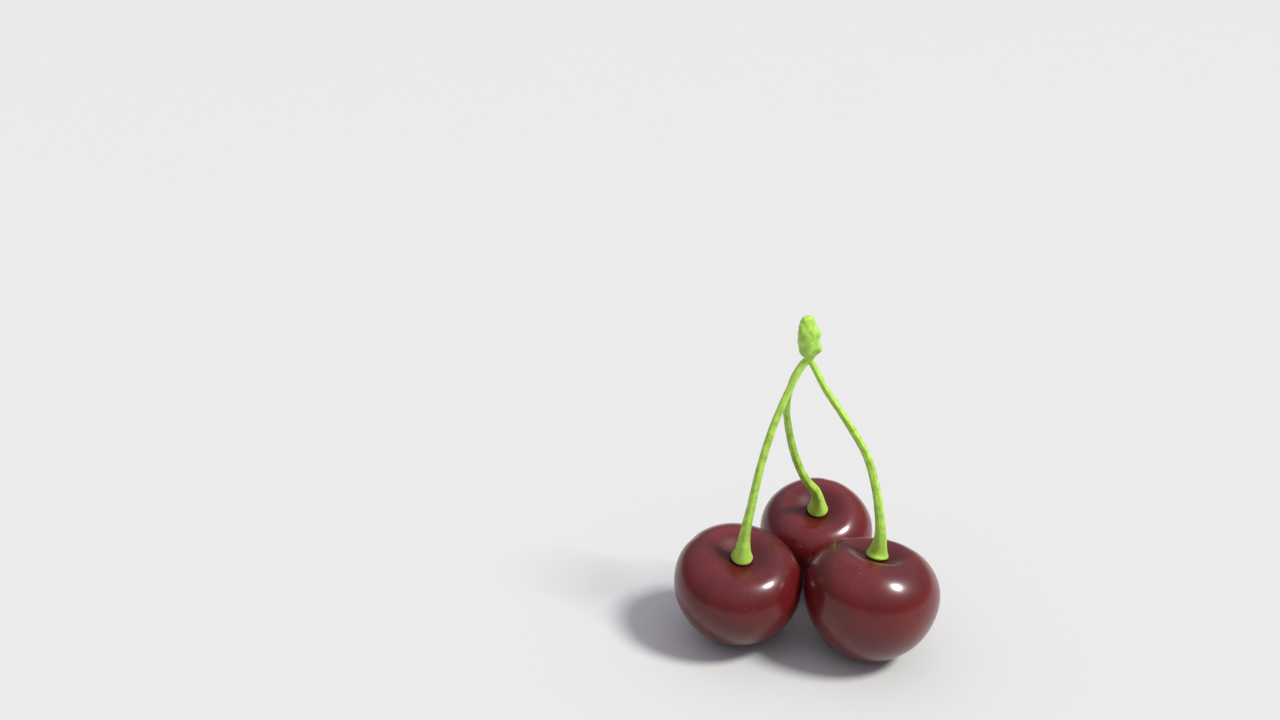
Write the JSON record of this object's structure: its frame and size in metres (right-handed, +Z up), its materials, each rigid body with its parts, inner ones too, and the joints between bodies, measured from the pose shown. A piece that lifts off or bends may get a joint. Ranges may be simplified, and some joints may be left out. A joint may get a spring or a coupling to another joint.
{
  "type": "cherry",
  "caption": "Joined cluster of ripe sweet cherries: dark red fruit on green stalks that meet in a spur knob, standing on its fruit.",
  "frame": {"origin": "on the ground, under the middle of the bounding box of the standing cluster", "axes": "+Z up; +Y away from the front, where the left and the right fruit are; +X to the right, from the left fruit to the right one"},
  "size_m": [0.0536, 0.0508, 0.0701],
  "materials": {
    "cherry_skin": "glossy thin fruit skin, dark red with faint paler specks",
    "stalk_green": "satin fresh green stalk, finely mottled along its length",
    "knob_green": "satin pale lime green spur, lumpy with darker creases"
  },
  "bodies": {
    "root": {"cherry_left": "cherry_skin", "cherry_right": "cherry_skin", "cherry_back": "cherry_skin", "stalk_left": "stalk_green", "stalk_right": "stalk_green", "stalk_back": "stalk_green", "spur_knob": "knob_green"}
  },
  "joints": []
}
